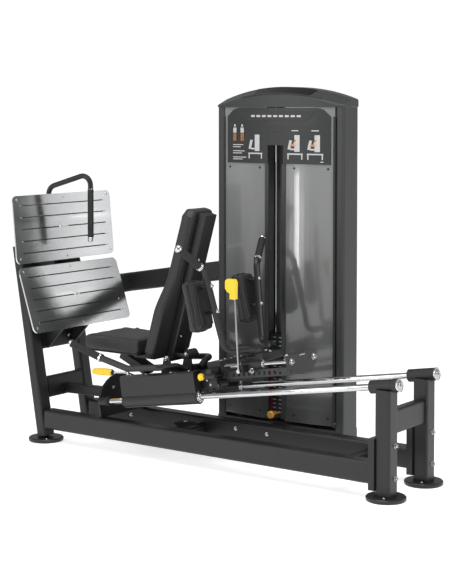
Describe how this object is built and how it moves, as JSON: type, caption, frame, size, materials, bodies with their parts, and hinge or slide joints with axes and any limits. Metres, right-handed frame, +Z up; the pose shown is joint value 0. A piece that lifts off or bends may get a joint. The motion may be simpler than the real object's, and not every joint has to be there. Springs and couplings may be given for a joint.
{
  "type": "hack squat machine",
  "caption": "Leg press and hack squat machine: inclined carriage with seat, backrest and shoulder pads, two slotted foot plates and a shrouded weight-stack tower.",
  "frame": {"origin": "centre of the footprint on the floor", "axes": "+Z up, +X along the guide rods from the foot plates to the rod posts, +Y towards the weight-stack tower"},
  "size_m": [2.3283, 0.985, 1.842],
  "materials": {
    "frame_paint": "black textured powder coat",
    "tower_paint": "graphite grey powder coat",
    "chrome": "hard chrome, polished",
    "foot_plate_steel": "satin nickel plated steel",
    "upholstery": "black vinyl upholstery",
    "rubber": "black rubber",
    "smoked_sheet": "smoked polycarbonate sheet",
    "instruction_print": null,
    "yellow_plastic": "yellow moulded grip",
    "stack_iron": "black painted steel weights"
  },
  "bodies": {
    "frame": {"near_base_rail": "frame_paint", "far_base_rail": "frame_paint", "near_rod_post": "frame_paint", "far_rod_post": "frame_paint", "near_left_foot": "frame_paint", "far_left_foot": "frame_paint", "near_right_foot": "frame_paint", "far_right_foot": "frame_paint", "middle_base_cross_tube": "frame_paint", "right_base_cross_tube": "frame_paint", "post_cross_tube": "frame_paint", "tower_floor_link": "frame_paint", "near_column": "frame_paint", "far_column": "frame_paint", "lower_column_tie": "frame_paint", "middle_column_tie": "frame_paint", "upper_column_tie": "frame_paint", "rod_end_plate": "frame_paint", "near_plate_bracket": "frame_paint", "far_plate_bracket": "frame_paint", "foot_plate_handle": "frame_paint", "tower_link_beam": "frame_paint", "tower_frame": "tower_paint", "tower_cap": "tower_paint", "tower_back_panel": "tower_paint", "near_guide_rod": "chrome", "far_guide_rod": "chrome", "left_stack_rod": "chrome", "right_stack_rod": "chrome", "upper_foot_plate": "foot_plate_steel", "lower_foot_plate": "foot_plate_steel", "tower_left_shield": "smoked_sheet", "tower_right_shield": "smoked_sheet", "instruction_board": "instruction_print", "resting_weights": "stack_iron"},
    "carriage": {"near_bearing_housing": "frame_paint", "far_bearing_housing": "frame_paint", "carriage_deck": "frame_paint", "near_side_handle": "frame_paint", "far_side_handle": "frame_paint", "seat_support": "frame_paint", "slide_block": "frame_paint", "near_slide_rod": "chrome", "far_slide_rod": "chrome", "slide_end_plate": "tower_paint", "backrest_pivot_pin": "chrome"},
    "seat": {"seat_pad": "upholstery"},
    "backrest": {"backrest_frame": "frame_paint", "backrest_pad": "upholstery"},
    "pad_carrier": {"pad_carrier": "frame_paint", "near_pad_arm": "frame_paint", "far_pad_arm": "frame_paint", "near_shoulder_pad": "upholstery", "far_shoulder_pad": "upholstery"},
    "seat_lever": {"seat_lever": "yellow_plastic"},
    "release_lever": {"release_lever": "yellow_plastic"},
    "lock_pin": {"lock_pin": "yellow_plastic"},
    "weight_stack": {"lifted_weights": "stack_iron"},
    "selector_pin": {"selector_pin": "yellow_plastic"},
    "base_pulley": {"base_pulley": "rubber"}
  },
  "joints": [
    {"name": "carriage_slide", "type": "slide", "parent": "frame", "child": "carriage", "axis": [0.9877, 0, 0.1564], "range_m": [0, 0.6]},
    {"name": "seat_tilt", "type": "hinge", "parent": "carriage", "child": "seat", "pos_m": [-0.35185, -0.1125, 0.503], "axis": [0, 1, 0], "range_deg": [0, 15]},
    {"name": "backrest_recline", "type": "hinge", "parent": "carriage", "child": "backrest", "pos_m": [-0.22685, -0.1125, 0.487], "axis": [0, 1, 0], "range_deg": [0, 50]},
    {"name": "pad_slide", "type": "slide", "parent": "carriage", "child": "pad_carrier", "axis": [0.9877, 0, 0.1564], "range_m": [-0.07, 0.13]},
    {"name": "release_lever_turn", "type": "hinge", "parent": "pad_carrier", "child": "release_lever", "pos_m": [0.26115, -0.2705, 0.486], "axis": [0, 1, 0], "range_deg": [0, 12], "stiffness_Nm_per_rad": 4, "springref_deg": -5.73},
    {"name": "seat_lever_turn", "type": "hinge", "parent": "carriage", "child": "seat_lever", "pos_m": [-0.43885, -0.2425, 0.402], "axis": [0, 1, 0], "range_deg": [0, 12], "stiffness_Nm_per_rad": 2, "springref_deg": -5.73},
    {"name": "lock_pin_pull", "type": "slide", "parent": "carriage", "child": "lock_pin", "axis": [-0.9877, 0, -0.1564], "range_m": [0, 0.015], "stiffness_N_per_m": 400, "springref_m": -0.006},
    {"name": "stack_lift", "type": "slide", "parent": "frame", "child": "weight_stack", "axis": [0, 0, 1], "range_m": [0, 0.6]},
    {"name": "selector_pull", "type": "slide", "parent": "weight_stack", "child": "selector_pin", "axis": [0, -1, 0], "range_m": [0, 0.05]},
    {"name": "pulley_spin", "type": "hinge", "parent": "frame", "child": "base_pulley", "pos_m": [-0.17685, -0.1125, 0.1306], "axis": [0, 0, 1], "range_deg": [0, 662]}
  ],
  "couplings": [
    {"joint": "stack_lift", "follows": "carriage_slide", "ratio": 1},
    {"joint": "pulley_spin", "follows": "carriage_slide", "rad_per_m": 19.2}
  ]
}
